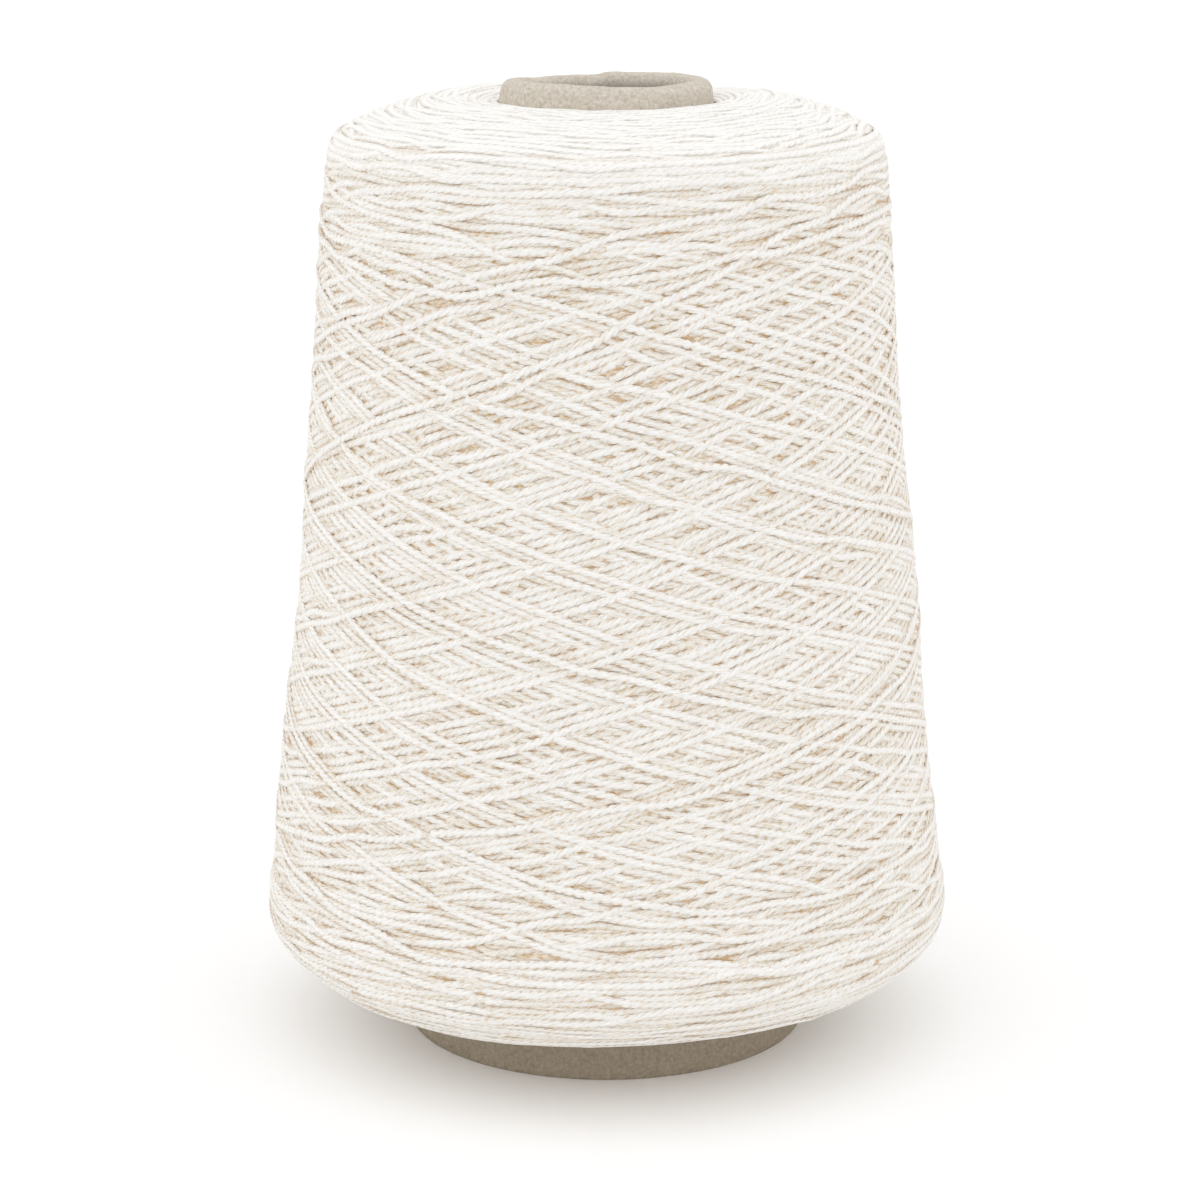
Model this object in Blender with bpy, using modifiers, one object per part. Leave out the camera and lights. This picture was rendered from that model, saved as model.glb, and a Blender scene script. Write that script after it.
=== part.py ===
"""Cone of yarn: a paperboard cone tube with a rolled-in nose, and the cross-wound package of plied cotton on it.

Units are metres, +Z is up. The origin is the centre of the tube's base, on the surface that the cone stands on.
-Y is the front. Each piece is one object with its own material.
"""

import math

import bmesh
import bpy
import numpy as np

MM = 0.001

# Cone tube: a standard 170 mm cone of 5 degrees 57 minutes
TUBE_HEIGHT = 170.0 * MM
CONE_HALF_ANGLE = math.radians(5.95)
BASE_RADIUS = 36.15 * MM
WALL = 1.5 * MM
RIM_CHAMFER = 0.25 * MM
BEAD_RADIUS = 2.1 * MM  # of the roll at the nose, which the wall turns inwards over
NOSE_RADIUS = 18.3 * MM  # outside of the roll
LIP_SWEEP = math.radians(235)  # how far the wall turns over the roll, back to its own inner face
NECK = 4.2 * MM  # over which the wall is drawn in below the roll, and the turned-in lip runs back into it
TUBE_STEPS = 72
BEAD_STEPS = 11

# Winding: the strands lie on a lattice of two crossing families of helices, one rising each way
STRANDS = 36  # helices in each family
CLEARANCE = 0.3 * MM  # between the yarn and the tube
PROFILE_SAMPLES = 800
INNER_ROWS = 6
EVEN_ROWS = 6  # at each end, over which the unevenness below dies out

# One row for each section of the package, from the tube at the base, out and up, to the tube at the nose:
# (radius mm, height mm, wind angle deg, crossing ridge mm, ring ridge mm)
SECTIONS = (
    (36.1, 8.6, 34, 0.0, 0.00),  # at the tube
    (45.0, 10.3, 34, 0.0, 0.25),  # underside
    (52.4, 12.8, 30, 0.2, 0.35),  # lower lip
    (57.0, 16.0, 24, 0.4, 0.25),  # lower shoulder
    (59.8, 20.0, 19, 0.6, 0.10),
    (60.4, 25.0, 17, 0.8, 0.00),  # widest
    (59.1, 33.5, 17, 0.9, 0.00),
    (56.4, 60.0, 17, 1.0, 0.00),  # body
    (53.6, 90.0, 17, 1.0, 0.00),
    (50.6, 120.0, 17, 1.0, 0.00),
    (48.9, 138.0, 16, 0.8, 0.10),
    (48.2, 149.0, 15, 0.5, 0.30),  # top band, where the strands turn back
    (47.6, 156.5, 16, 0.3, 0.35),
    (45.2, 161.0, 22, 0.1, 0.35),  # top shoulder
    (39.8, 163.9, 28, 0.0, 0.30),  # dome
    (31.5, 166.4, 32, 0.0, 0.25),
    (24.6, 167.5, 34, 0.0, 0.15),  # crest
    (19.7, 166.3, 34, 0.0, 0.00),  # at the tube
)
CROSSING_HEIGHTS = (1.0, 0.0, 0.1, 0.7, 0.0, 0.25)  # share of the ridge, repeating over the strands of a family
RING_HEIGHTS = (1.0, 0.2, 0.7, 0.0)  # share of the ridge, repeating over the rows

# Unevenness of the package: (height mm, lobes around, waves over the package's height, phase rad)
LUMPS = ((0.30, 2, 1.3, 0.6), (0.22, 3, -2.1, 2.0), (0.15, 5, 3.4, 4.1))
CREST_LEAN = 0.7 * MM  # the domed end is this much higher at the back, and lower at the front
LEAN_START = 150.0 * MM

OBJECT_NAME = "cone_of_yarn"


def clear_scene():
    for obj in list(bpy.data.objects):
        bpy.data.objects.remove(obj, do_unlink=True)


def make_collection(name):
    collection = bpy.data.collections.new(name)
    bpy.context.scene.collection.children.link(collection)
    return collection


def make_material(name, colour, roughness, sheen=0.0):
    material = bpy.data.materials.new(name)
    material.use_nodes = True
    shader = material.node_tree.nodes["Principled BSDF"]
    shader.inputs["Base Color"].default_value = (*colour, 1.0)
    shader.inputs["Roughness"].default_value = roughness
    shader.inputs["Metallic"].default_value = 0.0
    shader.inputs["Sheen Weight"].default_value = sheen
    return material


def cone_radius(height):
    """Outer radius of the tube's straight wall."""
    return BASE_RADIUS - height * math.tan(CONE_HALF_ANGLE)


def tube_profile():
    """The wall's section as (radius, height), down the outside, over the rim, up the inside and over the roll."""
    inset = WALL / math.cos(CONE_HALF_ANGLE)
    base = [
        (cone_radius(RIM_CHAMFER), RIM_CHAMFER),
        (BASE_RADIUS - RIM_CHAMFER, 0.0),
        (BASE_RADIUS - inset + RIM_CHAMFER, 0.0),
        (cone_radius(RIM_CHAMFER) - inset, RIM_CHAMFER),
    ]
    centre = (NOSE_RADIUS - BEAD_RADIUS, TUBE_HEIGHT - BEAD_RADIUS)
    roll = []
    for step in range(BEAD_STEPS + 1):
        angle = LIP_SWEEP * (1 - step / BEAD_STEPS)
        roll.append((centre[0] + BEAD_RADIUS * math.cos(angle), centre[1] + BEAD_RADIUS * math.sin(angle)))
    inner_neck = roll[0][1] - NECK
    outer_neck = centre[1] - NECK
    return [*base, (cone_radius(inner_neck) - inset, inner_neck), *roll, (cone_radius(outer_neck), outer_neck)]


def make_cone_tube(collection, material):
    profile = tube_profile()
    mesh = bpy.data.meshes.new("cone_tube")
    points = [(radius, 0.0, height) for radius, height in profile]
    edges = [(i, (i + 1) % len(points)) for i in range(len(points))]
    mesh.from_pydata(points, edges, [])
    mesh.materials.append(material)
    tube = bpy.data.objects.new("cone_tube", mesh)
    collection.objects.link(tube)
    turn = tube.modifiers.new("Turn", "SCREW")
    turn.axis = "Z"
    turn.angle = math.tau
    turn.steps = TUBE_STEPS
    turn.render_steps = TUBE_STEPS
    turn.use_merge_vertices = True
    turn.merge_threshold = 0.00001
    turn.use_smooth_shade = True
    return tube


def smooth_through(columns, samples):
    """A smooth curve through the rows of a table (Catmull-Rom), sampled evenly by row."""
    rows = np.vstack([2 * columns[0] - columns[1], columns, 2 * columns[-1] - columns[-2]])
    place = np.linspace(0, len(columns) - 1, samples)
    start = np.minimum(place.astype(int), len(columns) - 2)
    t = (place - start)[:, None]
    before, here, after, beyond = (rows[start + offset] for offset in range(4))
    return 0.5 * (
        2 * here
        + (after - before) * t
        + (2 * before - 5 * here + 4 * after - beyond) * t**2
        + (3 * here - before - 3 * after + beyond) * t**3
    )


def winding_rows():
    """Rows of the lattice over the package's outside: radius, height, outward normal and both ridge heights.

    From one row to the next a strand goes half a column round, so the rows are as far apart as its wind angle says.
    """
    table = smooth_through(np.array(SECTIONS, float), PROFILE_SAMPLES)
    table[:, [0, 1, 3, 4]] *= MM
    run = np.diff(table[:, :2], axis=0)
    length = np.concatenate([[0.0], np.cumsum(np.hypot(run[:, 0], run[:, 1]))])
    places = [0.0]
    while places[-1] < length[-1]:
        radius, angle = (np.interp(places[-1], length, table[:, column]) for column in (0, 2))
        places.append(places[-1] + radius * math.pi / STRANDS * math.tan(math.radians(angle)))
    places = np.array(places) * length[-1] / places[-1]
    tangent = np.gradient(table[:, :2], length, axis=0)
    rows = []
    for place in places:
        radius, height, _, crossing, ring = (np.interp(place, length, column) for column in table.T)
        out_r, out_z = (np.interp(place, length, column) for column in (tangent[:, 1], -tangent[:, 0]))
        rows.append((radius, height, out_r, out_z, crossing, ring))
    return rows


def lump(angle, height):
    """Slow unevenness of the package's surface, outwards."""
    share = height / TUBE_HEIGHT
    return MM * sum(
        size * math.sin(lobes * angle + math.tau * waves * share + phase) for size, lobes, waves, phase in LUMPS
    )


def outer_ring(row, index, unevenness):
    """One row of lattice points. Both families of strands pass through every point, and the higher one shows."""
    radius, height, out_r, out_z, crossing, ring = row
    points = []
    for column in range(STRANDS):
        half_columns = 2 * column + index % 2
        angle = math.pi * half_columns / STRANDS
        rising = (half_columns - index) // 2 % STRANDS % len(CROSSING_HEIGHTS)
        falling = (half_columns + index) // 2 % STRANDS % len(CROSSING_HEIGHTS)
        share = max(CROSSING_HEIGHTS[rising], CROSSING_HEIGHTS[falling])
        raised = crossing * share + ring * RING_HEIGHTS[index % len(RING_HEIGHTS)]
        raised += unevenness * lump(angle, height)
        lean_share = max(0.0, height - LEAN_START) / (TUBE_HEIGHT - LEAN_START)
        lean = unevenness * lean_share * CREST_LEAN * math.sin(angle)
        r = radius + raised * out_r
        points.append((r * math.cos(angle), r * math.sin(angle), height + raised * out_z + lean))
    return points


def inner_ring(height, index):
    """One row of points round the tube, far enough out for the flats between them to clear it."""
    radius = (cone_radius(height) + CLEARANCE / math.cos(CONE_HALF_ANGLE)) / math.cos(math.pi / STRANDS)
    angles = [math.pi * (2 * column + index % 2) / STRANDS for column in range(STRANDS)]
    return [(radius * math.cos(angle), radius * math.sin(angle), height) for angle in angles]


def make_yarn_winding(collection, material):
    rows = winding_rows()[1:-1]
    rings = []
    for row in rows:
        from_end = min(len(rings), len(rows) - 1 - len(rings))
        rings.append(outer_ring(row, len(rings), min(1.0, from_end / EVEN_ROWS)))
    inner_rows = INNER_ROWS + len(rings) % 2
    low, high = SECTIONS[0][1] * MM, SECTIONS[-1][1] * MM
    for step in range(inner_rows):
        height = high + (low - high) * step / (inner_rows - 1)
        rings.append(inner_ring(height, len(rings)))

    package = bmesh.new()
    lattice = [[package.verts.new(point) for point in ring] for ring in rings]
    for index, ring in enumerate(lattice):
        following = lattice[(index + 1) % len(lattice)]
        shift = index % 2  # odd rows stand half a column on
        for column in range(STRANDS):
            beside = (column + 1) % STRANDS
            ahead = following[(column + shift) % STRANDS]
            package.faces.new((ring[column], ring[beside], ahead))
            behind = following[(column + shift - 1) % STRANDS]
            package.faces.new((ring[column], ahead, behind))
    bmesh.ops.recalc_face_normals(package, faces=package.faces)
    mesh = bpy.data.meshes.new("yarn_winding")
    package.to_mesh(mesh)
    package.free()
    mesh.shade_smooth()
    mesh.materials.append(material)
    winding = bpy.data.objects.new("yarn_winding", mesh)
    collection.objects.link(winding)
    return winding


def main():
    clear_scene()
    collection = make_collection(OBJECT_NAME)
    greyboard = make_material("greyboard", (0.52, 0.47, 0.40), 0.85)
    cotton = make_material("cotton_yarn", (0.90, 0.87, 0.80), 0.9, sheen=0.2)
    make_cone_tube(collection, greyboard)
    make_yarn_winding(collection, cotton)


main()
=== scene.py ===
"""Cone of yarn: the looks of a paperboard cone tube and of the cross-wound package of plied cotton on it."""

import math

import bpy
import numpy as np
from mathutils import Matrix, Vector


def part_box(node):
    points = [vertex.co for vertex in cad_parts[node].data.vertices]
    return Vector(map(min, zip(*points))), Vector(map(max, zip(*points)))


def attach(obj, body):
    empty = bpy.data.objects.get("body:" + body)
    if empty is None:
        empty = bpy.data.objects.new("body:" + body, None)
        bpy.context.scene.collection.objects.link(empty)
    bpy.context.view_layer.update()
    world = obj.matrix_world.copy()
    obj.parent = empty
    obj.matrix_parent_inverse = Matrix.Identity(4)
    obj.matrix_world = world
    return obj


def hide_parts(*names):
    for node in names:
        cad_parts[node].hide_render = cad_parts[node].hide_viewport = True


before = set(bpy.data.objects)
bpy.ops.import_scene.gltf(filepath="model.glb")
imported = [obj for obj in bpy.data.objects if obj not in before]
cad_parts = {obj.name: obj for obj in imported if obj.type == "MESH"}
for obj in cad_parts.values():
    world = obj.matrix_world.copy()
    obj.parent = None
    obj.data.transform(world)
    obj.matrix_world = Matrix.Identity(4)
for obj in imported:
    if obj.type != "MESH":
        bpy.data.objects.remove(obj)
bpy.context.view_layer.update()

# --------------------------------------------------------------------------------------------------
# Paper cone tube. One sheet of greyboard is wound into a cone and glued along a lap seam, and its small
# end is turned in over itself to make a smooth, slightly lumpy nose. The cone stands on the cut rim of the
# wide end.

MM = 0.001
tube_low, tube_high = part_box("cone_tube")
TUBE_HEIGHT = tube_high.z - tube_low.z
CONE_HALF_ANGLE = math.radians(5.95)
BASE_RADIUS = tube_high.x
WALL = 1.5 * MM
RIM_ROUND = 0.3 * MM
ROLL_RADIUS = 2.1 * MM
NOSE_RADIUS = 18.3 * MM
LIP_SWEEP = math.radians(235)  # how far the board turns in over the roll
NECK = 4.2 * MM  # over which the board is drawn in below the roll
FOOT = 12 * MM  # of closer rings above the rim
TUBE_COLUMNS = 180
ROLL_STEPS = 28
FOOT_STEPS = 12
SIDE_STEPS = 24
NECK_STEPS = 5
SEAM_ANGLE = math.radians(-77.5)  # where the board's outer edge lies, a little right of the front
SEAM_STEP = 0.12 * MM
SEAM_WIDTH = math.radians(1.0)
SEAM_FADE = 0.8  # rad round the tube, over which the step is lost

# Unevenness of the turned nose: (height mm, lobes around, phase rad)
NOSE_LUMPS = (
    (0.18, 2, 0.4), (0.10, 3, 2.2), (0.05, 5, 4.0), (0.03, 9, 1.0), (0.02, 16, 2.9), (0.015, 27, 0.2),
)
LUMP_SPREAD = 0.6  # share of a lump's height by which it also stands out sideways
NOSE_DENT = 0.45 * MM  # the back of the nose steps down on its left side
NOSE_DENT_ANGLE = math.radians(93)
NOSE_DENT_WIDTH = math.radians(6)
NOSE_DENT_SPAN = math.radians(55)


def cone_radius(height):
    return BASE_RADIUS - height * math.tan(CONE_HALF_ANGLE)


def steps_between(first, last, count):
    return [tuple(a + (b - a) * step / count for a, b in zip(first, last)) for step in range(count)]


def tube_section():
    """The board's section as (radius, height, share of the nose's unevenness), in a ring: up the outside,
    over the roll, down the inside and under the rim."""
    inset = WALL / math.cos(CONE_HALF_ANGLE)
    centre = (NOSE_RADIUS - ROLL_RADIUS, TUBE_HEIGHT - ROLL_RADIUS)
    foot = (cone_radius(RIM_ROUND), RIM_ROUND)
    knee = (cone_radius(FOOT), FOOT)
    outer_neck = (cone_radius(centre[1] - NECK), centre[1] - NECK)
    roll = []
    for step in range(ROLL_STEPS + 1):
        angle = LIP_SWEEP * step / ROLL_STEPS
        roll.append((centre[0] + ROLL_RADIUS * math.cos(angle), centre[1] + ROLL_RADIUS * math.sin(angle)))
    inner_neck = (cone_radius(roll[-1][1] - NECK) - inset, roll[-1][1] - NECK)
    inner_foot = (cone_radius(RIM_ROUND) - inset, RIM_ROUND)
    rim_edge = RIM_ROUND * 0.7
    section = [(*point, 0.0) for point in steps_between(foot, knee, FOOT_STEPS)]
    section += [(*point, 0.0) for point in steps_between(knee, outer_neck, SIDE_STEPS)]
    section += [(*point, 0.5) for point in steps_between(outer_neck, roll[0], NECK_STEPS)]
    section += [(*point, 1.0) for point in roll]
    section += [(*point, 0.4) for point in steps_between(inner_neck, inner_foot, SIDE_STEPS)]
    section += [(*inner_foot, 0.0), (inner_foot[0] + rim_edge, 0.0, 0.0), (foot[0] - rim_edge, 0.0, 0.0)]
    return section


def nose_lump(angle):
    """How far the nose stands above its even height. Its dent starts four times as sharply as it ends."""
    bumps = sum(size * MM * math.sin(lobes * angle + phase) for size, lobes, phase in NOSE_LUMPS)
    past = (angle - NOSE_DENT_ANGLE + math.pi) % math.tau - math.pi
    dent = 1 / (1 + math.exp(-past / NOSE_DENT_WIDTH * 4))
    dent /= 1 + math.exp((past - NOSE_DENT_SPAN) / NOSE_DENT_WIDTH)
    return bumps - NOSE_DENT * dent


def seam_lift(angle):
    """The board's outer edge stands a little proud and fades back round the tube."""
    past = (SEAM_ANGLE - angle) % math.tau
    return SEAM_STEP * min(1.0, (math.tau - past) / SEAM_WIDTH) * math.exp(-past / SEAM_FADE)


def closed_grid(name, rings):
    """A mesh through rings of points, closed both ways. Its faces point outwards where the rings climb the
    outside."""
    points = [point for ring in rings for point in ring]
    count = len(rings[0])
    faces = []
    for index in range(len(rings)):
        here = index * count
        above = (index + 1) % len(rings) * count
        for column in range(count):
            beside = (column + 1) % count
            faces.append((here + column, here + beside, above + beside, above + column))
    mesh = bpy.data.meshes.new(name)
    mesh.from_pydata(points, [], faces)
    mesh.shade_smooth()
    piece = bpy.data.objects.new(name, mesh)
    bpy.context.scene.collection.objects.link(piece)
    return piece


def tube_rings():
    rings = []
    for radius, height, share in tube_section():
        ring = []
        for column in range(TUBE_COLUMNS):
            angle = math.tau * column / TUBE_COLUMNS
            lump = share * nose_lump(angle)
            near_top = max(0.0, (height - TUBE_HEIGHT + 2 * ROLL_RADIUS) / (2 * ROLL_RADIUS))
            outside = radius > cone_radius(height) - WALL * 0.5
            r = radius + LUMP_SPREAD * lump + (seam_lift(angle) if outside and share < 1.0 else 0.0)
            ring.append((r * math.cos(angle), r * math.sin(angle), height + lump * near_top))
        rings.append(ring)
    return rings


def link(tree, *pairs):
    for output, socket in pairs:
        tree.links.new(output, socket)


def node_in(tree, kind, **settings):
    """A node with its settings and its unlinked input values, by name."""
    node = tree.nodes.new(kind)
    for key, value in settings.items():
        if hasattr(node, key):
            setattr(node, key, value)
        else:
            node.inputs[key.replace("_", " ").title()].default_value = value
    return node


def worked_out(tree, operation, *values):
    """The output of a Math node of outputs and numbers."""
    node = node_in(tree, "ShaderNodeMath", operation=operation)
    for value, socket in zip(values, node.inputs):
        if isinstance(value, (int, float)):
            socket.default_value = value
        else:
            tree.links.new(value, socket)
    return node.outputs[0]


def ranged(tree, source, first, last, low=0.0, high=1.0):
    """How far a value is on its way from the first to the last, with a smooth start and end."""
    node = node_in(tree, "ShaderNodeMapRange", interpolation_type="SMOOTHSTEP")
    for name, value in (("From Min", first), ("From Max", last), ("To Min", low), ("To Max", high)):
        node.inputs[name].default_value = value
    tree.links.new(source, node.inputs["Value"])
    return node.outputs["Result"]


def mixed(tree, share, first, second, blend="MIX"):
    """One colour turned into another by a share. Each is an output or a colour."""
    node = node_in(tree, "ShaderNodeMix", data_type="RGBA", blend_type=blend)
    for value, socket in ((share, node.inputs[0]), (first, node.inputs[6]), (second, node.inputs[7])):
        if isinstance(value, tuple):
            socket.default_value = (*value, 1.0)
        elif isinstance(value, float):
            socket.default_value = value
        else:
            tree.links.new(value, socket)
    return node.outputs[2]


def ramp_between(tree, source, stops):
    node = tree.nodes.new("ShaderNodeValToRGB")
    elements = node.color_ramp.elements
    while len(elements) < len(stops):
        elements.new(0.5)
    for element, (place, colour) in zip(elements, stops):
        element.position = place
        element.color = (*colour, 1.0)
    tree.links.new(source, node.inputs["Fac"])
    return node.outputs["Color"]


def strokes_group():
    """Fine fibres along a surface: a noise drawn out along its grain, as it is and as separate strokes."""
    group = bpy.data.node_groups.new("fibre strokes", "ShaderNodeTree")
    for name, kind in (
        ("Place", "NodeSocketVector"), ("Grain", "NodeSocketVector"), ("Slant", "NodeSocketFloat"),
        ("Roughening", "NodeSocketFloat"), ("Faintest", "NodeSocketFloat"), ("Full", "NodeSocketFloat"),
    ):
        group.interface.new_socket(name, in_out="INPUT", socket_type=kind)
    for name in ("Noise", "Strokes"):
        group.interface.new_socket(name, in_out="OUTPUT", socket_type="NodeSocketFloat")
    start = group.nodes.new("NodeGroupInput")
    end = group.nodes.new("NodeGroupOutput")
    turn = group.nodes.new("ShaderNodeCombineXYZ")
    along_grain = node_in(group, "ShaderNodeMapping", vector_type="TEXTURE")
    noise = node_in(group, "ShaderNodeTexNoise", scale=1.0, roughness=0.6)
    strokes = node_in(group, "ShaderNodeMapRange", interpolation_type="SMOOTHSTEP")
    link(group,
         (start.outputs["Slant"], turn.inputs["Z"]), (turn.outputs["Vector"], along_grain.inputs["Rotation"]),
         (start.outputs["Place"], along_grain.inputs["Vector"]),
         (start.outputs["Grain"], along_grain.inputs["Scale"]),
         (along_grain.outputs["Vector"], noise.inputs["Vector"]),
         (start.outputs["Roughening"], noise.inputs["Detail"]),
         (noise.outputs["Fac"], strokes.inputs["Value"]),
         (start.outputs["Faintest"], strokes.inputs["From Min"]),
         (start.outputs["Full"], strokes.inputs["From Max"]),
         (noise.outputs["Fac"], end.inputs["Noise"]), (strokes.outputs["Result"], end.inputs["Strokes"]))
    return group


fibre_strokes = strokes_group()


def strokes_on(tree, place, grain, slant=0.0, roughening=1.0, faintest=0.5, full=0.65):
    """The fibre strokes at a place, with the length of one of them along each of its directions."""
    node = tree.nodes.new("ShaderNodeGroup")
    node.node_tree = fibre_strokes
    tree.links.new(place, node.inputs["Place"])
    for name, value in (
        ("Grain", grain), ("Slant", slant), ("Roughening", roughening),
        ("Faintest", faintest), ("Full", full),
    ):
        node.inputs[name].default_value = value
    return node


def new_material(name, roughness, specular):
    """A material, its node tree and its shader."""
    material = bpy.data.materials.new(name)
    material.use_nodes = True
    shader = material.node_tree.nodes["Principled BSDF"]
    shader.inputs["Roughness"].default_value = roughness
    shader.inputs["Specular IOR Level"].default_value = specular
    return material, material.node_tree, shader


def greyboard_material():
    """Pulp board: mottled warm grey with paler fibres, fine pits and a few dark flecks."""
    material, tree, shader = new_material("greyboard", 0.85, 0.25)
    place = tree.nodes.new("ShaderNodeTexCoord").outputs["Object"]

    mottle = node_in(tree, "ShaderNodeTexNoise", scale=1500.0, detail=4.0, roughness=0.75)
    board = ramp_between(tree, mottle.outputs["Fac"], (
        (0.27, (0.415, 0.360, 0.283)), (0.50, (0.602, 0.548, 0.470)), (0.73, (0.752, 0.706, 0.635))))
    fibre = strokes_on(tree, place, (1.1 * MM, 1.1 * MM, 0.38 * MM), roughening=3.0, faintest=0.60, full=0.72)
    pale = worked_out(tree, "MULTIPLY", fibre.outputs["Strokes"], 0.35)
    colour = mixed(tree, pale, board, (0.30, 0.28, 0.25), "SCREEN")

    cells = node_in(tree, "ShaderNodeTexVoronoi", scale=330.0)
    chosen = tree.nodes.new("ShaderNodeSeparateColor")
    link(tree, (place, mottle.inputs["Vector"]), (place, cells.inputs["Vector"]),
         (cells.outputs["Color"], chosen.inputs["Color"]))
    fleck = ranged(tree, cells.outputs["Distance"], 0.13, 0.05)
    few = ranged(tree, chosen.outputs["Red"], 0.90, 0.94, high=0.75)
    colour = mixed(tree, worked_out(tree, "MULTIPLY", fleck, few), colour, (0.13, 0.105, 0.08))

    # Painted shade: the board darkens towards its foot, where the package overhangs it, and is even above 60
    # mm.
    height = tree.nodes.new("ShaderNodeSeparateXYZ")
    tree.links.new(place, height.inputs[0])
    above_foot_shade = ranged(tree, height.outputs["Z"], 10 * MM, 60 * MM)
    painted_foot_shade = mixed(tree, above_foot_shade, (0.58, 0.54, 0.48), (1.0, 1.0, 1.0))
    tree.links.new(mixed(tree, 1.0, colour, painted_foot_shade, "MULTIPLY"), shader.inputs["Base Color"])

    pits = node_in(tree, "ShaderNodeTexNoise", scale=1500.0, detail=4.0)
    bump = node_in(tree, "ShaderNodeBump", strength=0.5, distance=0.2 * MM)
    link(tree, (place, pits.inputs["Vector"]), (pits.outputs["Fac"], bump.inputs["Height"]),
         (bump.outputs["Normal"], shader.inputs["Normal"]))
    return material


tube = closed_grid("paper_tube", tube_rings())
tube.data.materials.append(greyboard_material())
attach(tube, "root")
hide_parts("cone_tube")

# --------------------------------------------------------------------------------------------------
# Lay of the package. The yarn is guided to and fro along the turning tube, so its strands cross in two
# slants and turn back near each end. Each strand is laid on those before it, as on the machine, and later
# strands press them level.

# One row for each section of the package, in the order in which it is climbed from the tube at the base,
# out under the package, up its flank and in over its dome, to the strands' crowns:
# (radius mm, height mm, wind angle deg)
SECTIONS = (
    (36.6, 8.9, 2.0),
    (45.2, 10.4, 2.0),
    (53.7, 12.9, 2.5),
    (57.8, 15.9, 4.0),
    (60.7, 19.3, 6.0),
    (61.2, 25.0, 9.0),
    (60.05, 33.0, 13.0),
    (57.4, 60.0, 17.0),
    (54.6, 90.0, 18.5),
    (51.5, 120.0, 20.0),
    (49.8, 140.0, 16.0),
    (48.9, 151.0, 8.0),
    (47.6, 159.4, 4.0),
    (44.0, 162.4, 2.0),
    (38.0, 164.8, 2.0),
    (30.0, 166.7, 2.0),
    (23.5, 166.7, 2.0),
    (18.9, 165.9, 2.0),
)
LAY_ROW = 0.3  # mm between the rows of the lay, measured over the package's outside
LAY_COLUMNS = 1024
COLUMN_ANGLE = math.tau / LAY_COLUMNS
COLUMN_STEP = 0.33  # mm, about what a column spans on the flank
PROFILE_SAMPLES = 2000

# Unevenness of the package: (height mm, lobes around, waves over the package's height, phase rad)
LUMPS = ((0.30, 2, 1.3, 0.6), (0.22, 3, -2.1, 2.0), (0.15, 5, 3.4, 4.1))
CREST_LEAN = 0.7  # mm by which the domed end is higher at the back
LEAN_START = 150.0
END_FADE = 6.0  # mm from both ends over which the package is even


def smooth_through(table, samples):
    """A smooth curve through the rows of a table (Catmull-Rom), sampled evenly by row."""
    rows = np.vstack([2 * table[0] - table[1], table, 2 * table[-1] - table[-2]])
    place = np.linspace(0, len(table) - 1, samples)
    start = np.minimum(place.astype(int), len(table) - 2)
    t = (place - start)[:, None]
    before, here, after, beyond = (rows[start + offset] for offset in range(4))
    return 0.5 * (
        2 * here
        + (after - before) * t
        + (2 * before - 5 * here + 4 * after - beyond) * t**2
        + (3 * here - before - 3 * after + beyond) * t**3
    )


profile = smooth_through(np.array(SECTIONS), PROFILE_SAMPLES)
climbed = np.concatenate([[0.0], np.cumsum(np.hypot(*np.diff(profile[:, :2], axis=0).T))])
lay_places = np.arange(0.0, climbed[-1], LAY_ROW)  # mm climbed at each row of the lay
lay_radius, lay_height, lay_angle = (np.interp(lay_places, climbed, column) for column in profile.T)
slope_r, slope_z = np.gradient(lay_radius, LAY_ROW), np.gradient(lay_height, LAY_ROW)
LAY_ROWS = len(lay_places)


def place_at(height):
    """How far a strand has climbed over the outside when it reaches this height on the flank."""
    return float(lay_places[np.argmax(lay_height >= height)])


def on_package(climb, angle, proud):
    """Points in metres, this far climbed and turned round the package, and so many mm proud of its crowns,
    with the package's outward direction there."""
    radius, height, out_r, out_z = (
        np.interp(climb, lay_places, values) for values in (lay_radius, lay_height, slope_z, -slope_r)
    )
    end = np.minimum(1.0, np.minimum(climb, lay_places[-1] - climb) / END_FADE)
    uneven = sum(
        size * np.sin(lobes * angle + math.tau * waves * height / (TUBE_HEIGHT / MM) + phase)
        for size, lobes, waves, phase in LUMPS
    )
    lean = CREST_LEAN * np.maximum(0.0, height - LEAN_START) / (TUBE_HEIGHT / MM - LEAN_START) * np.sin(angle)
    off = proud + end * uneven
    r = radius + off * out_r
    points = np.stack([r * np.cos(angle), r * np.sin(angle), height + off * out_z + end * lean], axis=-1) * MM
    outward = np.stack([out_r * np.cos(angle), out_r * np.sin(angle), out_z], axis=-1)
    return points, outward


STRAND_HALF_WIDTH = 0.56  # mm
STRAND_HALF_HEIGHT = 0.34
PRESSED_HALF_HEIGHT = 0.20  # of a strand where it is pressed between those it crosses
SQUEEZE = 0.20  # mm that a strand sinks further where it crosses a pile
SINK = 0.05  # mm that it sinks into those under it everywhere
REACH_ROWS = 4  # rows each side of a strand's middle that it can touch
STIFF = 3.0  # mm over which a strand bridges hollows
BEND = 1.0  # mm in which it can bend
SPREAD = 2.5  # mm over which the strands on top press piles level
SIDESTEPS = np.linspace(-0.9, 0.9, 7)  # mm that a strand may slide off a pile into a hollow beside it
HOLLOW_PULL = 0.02  # mm of height that make one place beside it clearly better than another
END_CLEAR = 0.3  # mm that strands keep from both ends of the lay

rng = np.random.default_rng(7)
pile = np.zeros((LAY_ROWS, LAY_COLUMNS))
strands = []
reach = np.arange(-REACH_ROWS, REACH_ROWS + 1)
EDGE = 60  # rows that are added past both ends before blurring
wave_rows = np.fft.fftfreq(LAY_ROWS + 2 * EDGE, LAY_ROW)[:, None]
wave_columns = np.fft.rfftfreq(LAY_COLUMNS, COLUMN_STEP)[None, :]


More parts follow.
